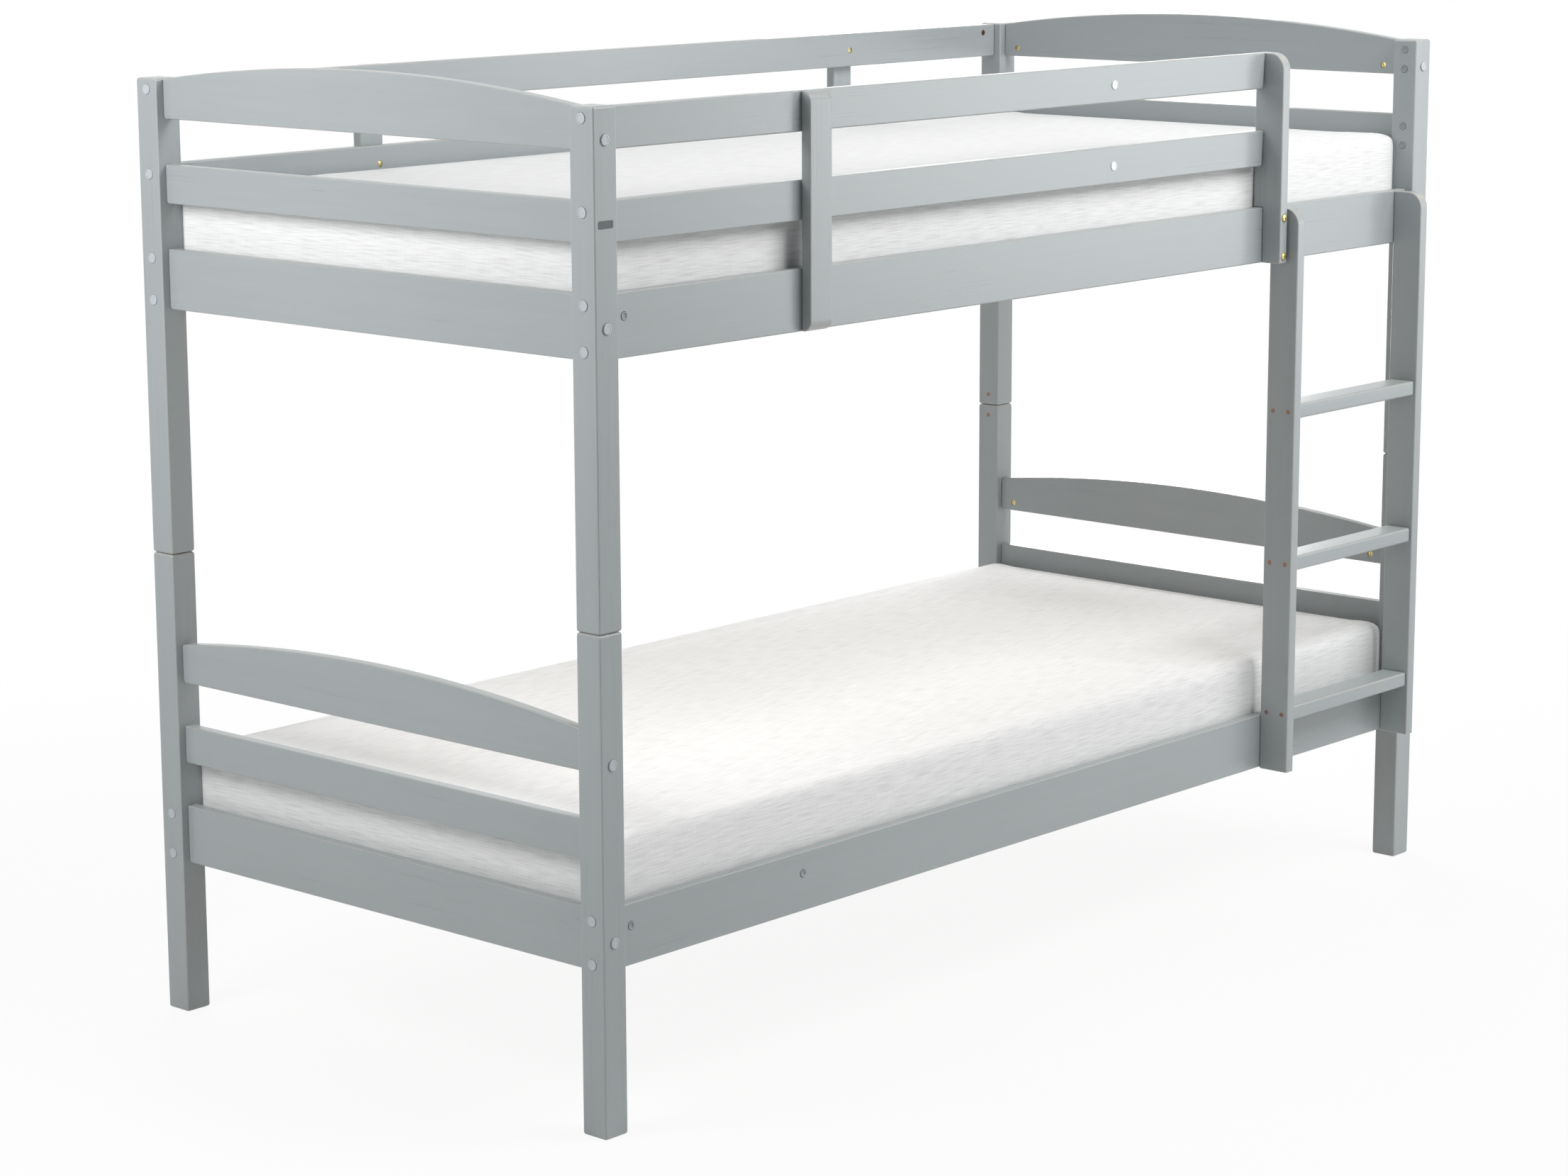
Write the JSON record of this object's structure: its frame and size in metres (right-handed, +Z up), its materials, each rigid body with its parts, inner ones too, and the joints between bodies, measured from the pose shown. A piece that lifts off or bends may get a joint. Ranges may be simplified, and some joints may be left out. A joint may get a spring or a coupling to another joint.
{
  "type": "bunk bed",
  "caption": "Painted wooden bunk bed with arched end panels, guard rails, a fixed ladder, slatted bases and mattresses.",
  "frame": {"origin": "on the floor, under the middle of everything the bed takes up, the ladder included", "axes": "+X along the bed towards the end with the ladder, -Y towards the ladder side, +Z up"},
  "size_m": [2.08, 1.0146, 1.493],
  "materials": {
    "grey_paint": "satin grey paint over fine pine grain",
    "bare_pine": "planed, unpainted",
    "mattress_cover": "white linen-look weave",
    "zinc_steel": "zinc plated",
    "brass": "yellow plated, polished"
  },
  "bodies": {
    "root": {"guard_rail_back_high": "grey_paint", "guard_rail_back_low": "grey_paint", "guard_rail_front_high": "grey_paint", "guard_rail_front_low": "grey_paint", "guard_upright_back_foot": "grey_paint", "guard_upright_back_head": "grey_paint", "guard_upright_front": "grey_paint", "guard_upright_ladder": "grey_paint", "joint_pin_back_foot": "zinc_steel", "joint_pin_back_head": "zinc_steel", "joint_pin_front_foot": "zinc_steel", "joint_pin_front_head": "zinc_steel", "ladder_bolt_lower_foot_side": "zinc_steel", "ladder_bolt_lower_head_side": "zinc_steel", "ladder_bolt_upper_foot_side": "zinc_steel", "ladder_bolt_upper_head_side": "zinc_steel", "ladder_rung_1": "grey_paint", "ladder_rung_2": "grey_paint", "ladder_rung_3": "grey_paint", "ladder_stile_foot_side": "grey_paint", "ladder_stile_head_side": "grey_paint", "lower_foot_arch_rail": "grey_paint", "lower_foot_bottom_rail": "grey_paint", "lower_foot_middle_rail": "grey_paint", "lower_head_arch_rail": "grey_paint", "lower_head_bottom_rail": "grey_paint", "lower_head_middle_rail": "grey_paint", "lower_mattress": "mattress_cover", "lower_post_back_foot": "grey_paint", "lower_post_back_head": "grey_paint", "lower_post_front_foot": "grey_paint", "lower_post_front_head": "grey_paint", "lower_side_rail_back": "grey_paint", "lower_side_rail_front": "grey_paint", "lower_slat_ledger_back": "bare_pine", "lower_slat_ledger_front": "bare_pine", "lower_slat_roll": "bare_pine", "upper_foot_arch_rail": "grey_paint", "upper_foot_bottom_rail": "grey_paint", "upper_foot_middle_rail": "grey_paint", "upper_head_arch_rail": "grey_paint", "upper_head_bottom_rail": "grey_paint", "upper_head_middle_rail": "grey_paint", "upper_mattress": "mattress_cover", "upper_post_back_foot": "grey_paint", "upper_post_back_head": "grey_paint", "upper_post_front_foot": "grey_paint", "upper_post_front_head": "grey_paint", "upper_side_rail_back": "grey_paint", "upper_side_rail_front": "grey_paint", "upper_slat_ledger_back": "bare_pine", "upper_slat_ledger_front": "bare_pine", "upper_slat_roll": "bare_pine", "upright_screw_1": "brass", "upright_screw_2": "brass"}
  },
  "joints": []
}
